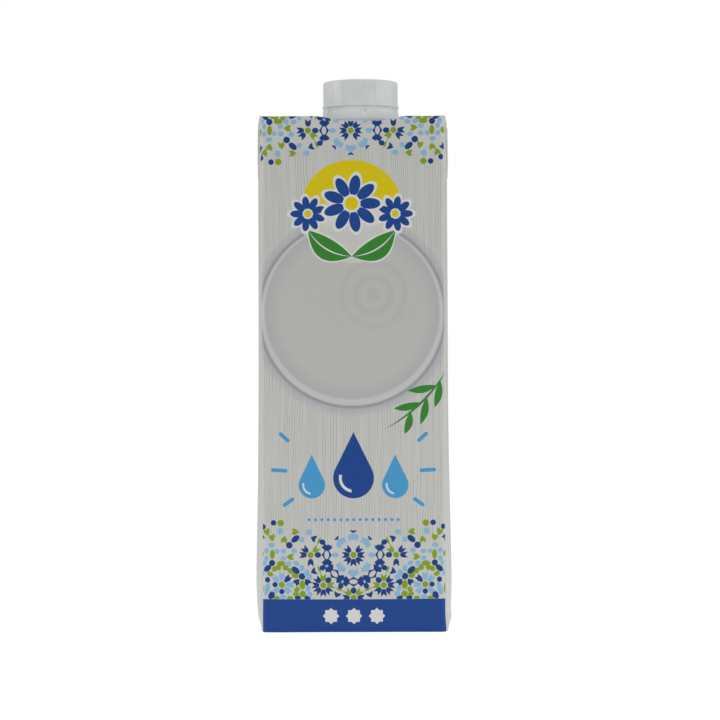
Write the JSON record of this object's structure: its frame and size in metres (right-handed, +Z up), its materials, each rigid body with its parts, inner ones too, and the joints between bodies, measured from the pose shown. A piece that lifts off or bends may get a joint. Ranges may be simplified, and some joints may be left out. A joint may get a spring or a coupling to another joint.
{
  "type": "milk carton",
  "caption": "Shut brick-shaped carton of printed board for milk, with swollen panels, folded ears, a flat top seal and a ribbed screw cap over a tamper ring.",
  "frame": {"origin": "middle of the base, on the surface that the carton stands on", "axes": "+Z up, the printed front panel faces -Y, +X is to the right as seen from the front"},
  "size_m": [0.079, 0.0718, 0.2183],
  "materials": {
    "printed_board": "coated board, satin, printed",
    "spout_plastic": "white moulded polyethylene, satin",
    "band_plastic": "white moulded polyethylene, satin",
    "cap_plastic": "white moulded polyethylene, satin"
  },
  "bodies": {
    "root": {"carton": "printed_board", "spout": "spout_plastic", "tamper_band": "band_plastic", "cap": "cap_plastic"}
  },
  "joints": []
}
